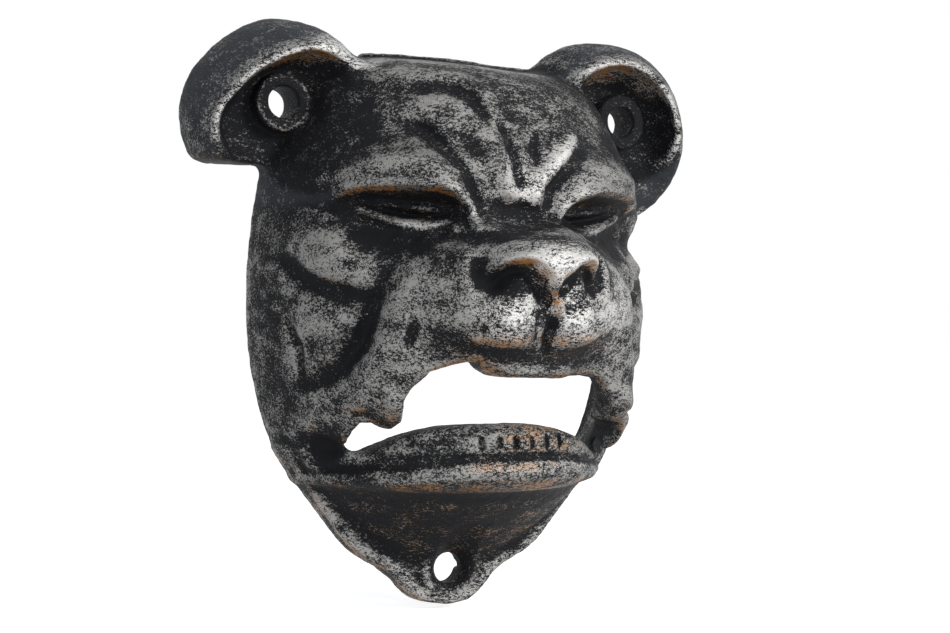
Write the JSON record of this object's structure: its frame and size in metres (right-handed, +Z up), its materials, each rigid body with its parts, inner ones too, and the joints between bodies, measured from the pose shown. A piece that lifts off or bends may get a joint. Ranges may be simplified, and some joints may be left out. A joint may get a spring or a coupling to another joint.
{
  "type": "wall bottle opener",
  "caption": "Cast iron dog's head that hangs on a wall, with an open mouth whose upper plate and lower lip lever off a crown cap.",
  "frame": {"origin": "on the wall plane, midway between the screw holes of the two ears", "axes": "+Z up the wall, +X to the viewer's right, -Y out of the wall towards the viewer"},
  "size_m": [0.115, 0.0495, 0.1186],
  "materials": {
    "antique_iron": "rough black iron with silver rubbed over its high places"
  },
  "bodies": {
    "root": {"forehead": "antique_iron", "left_ear": "antique_iron", "right_ear": "antique_iron", "left_cheek": "antique_iron", "right_cheek": "antique_iron", "muzzle": "antique_iron", "cap_rest": "antique_iron", "left_flew": "antique_iron", "right_flew": "antique_iron", "lower_jaw": "antique_iron", "chin_plate": "antique_iron"}
  },
  "joints": []
}
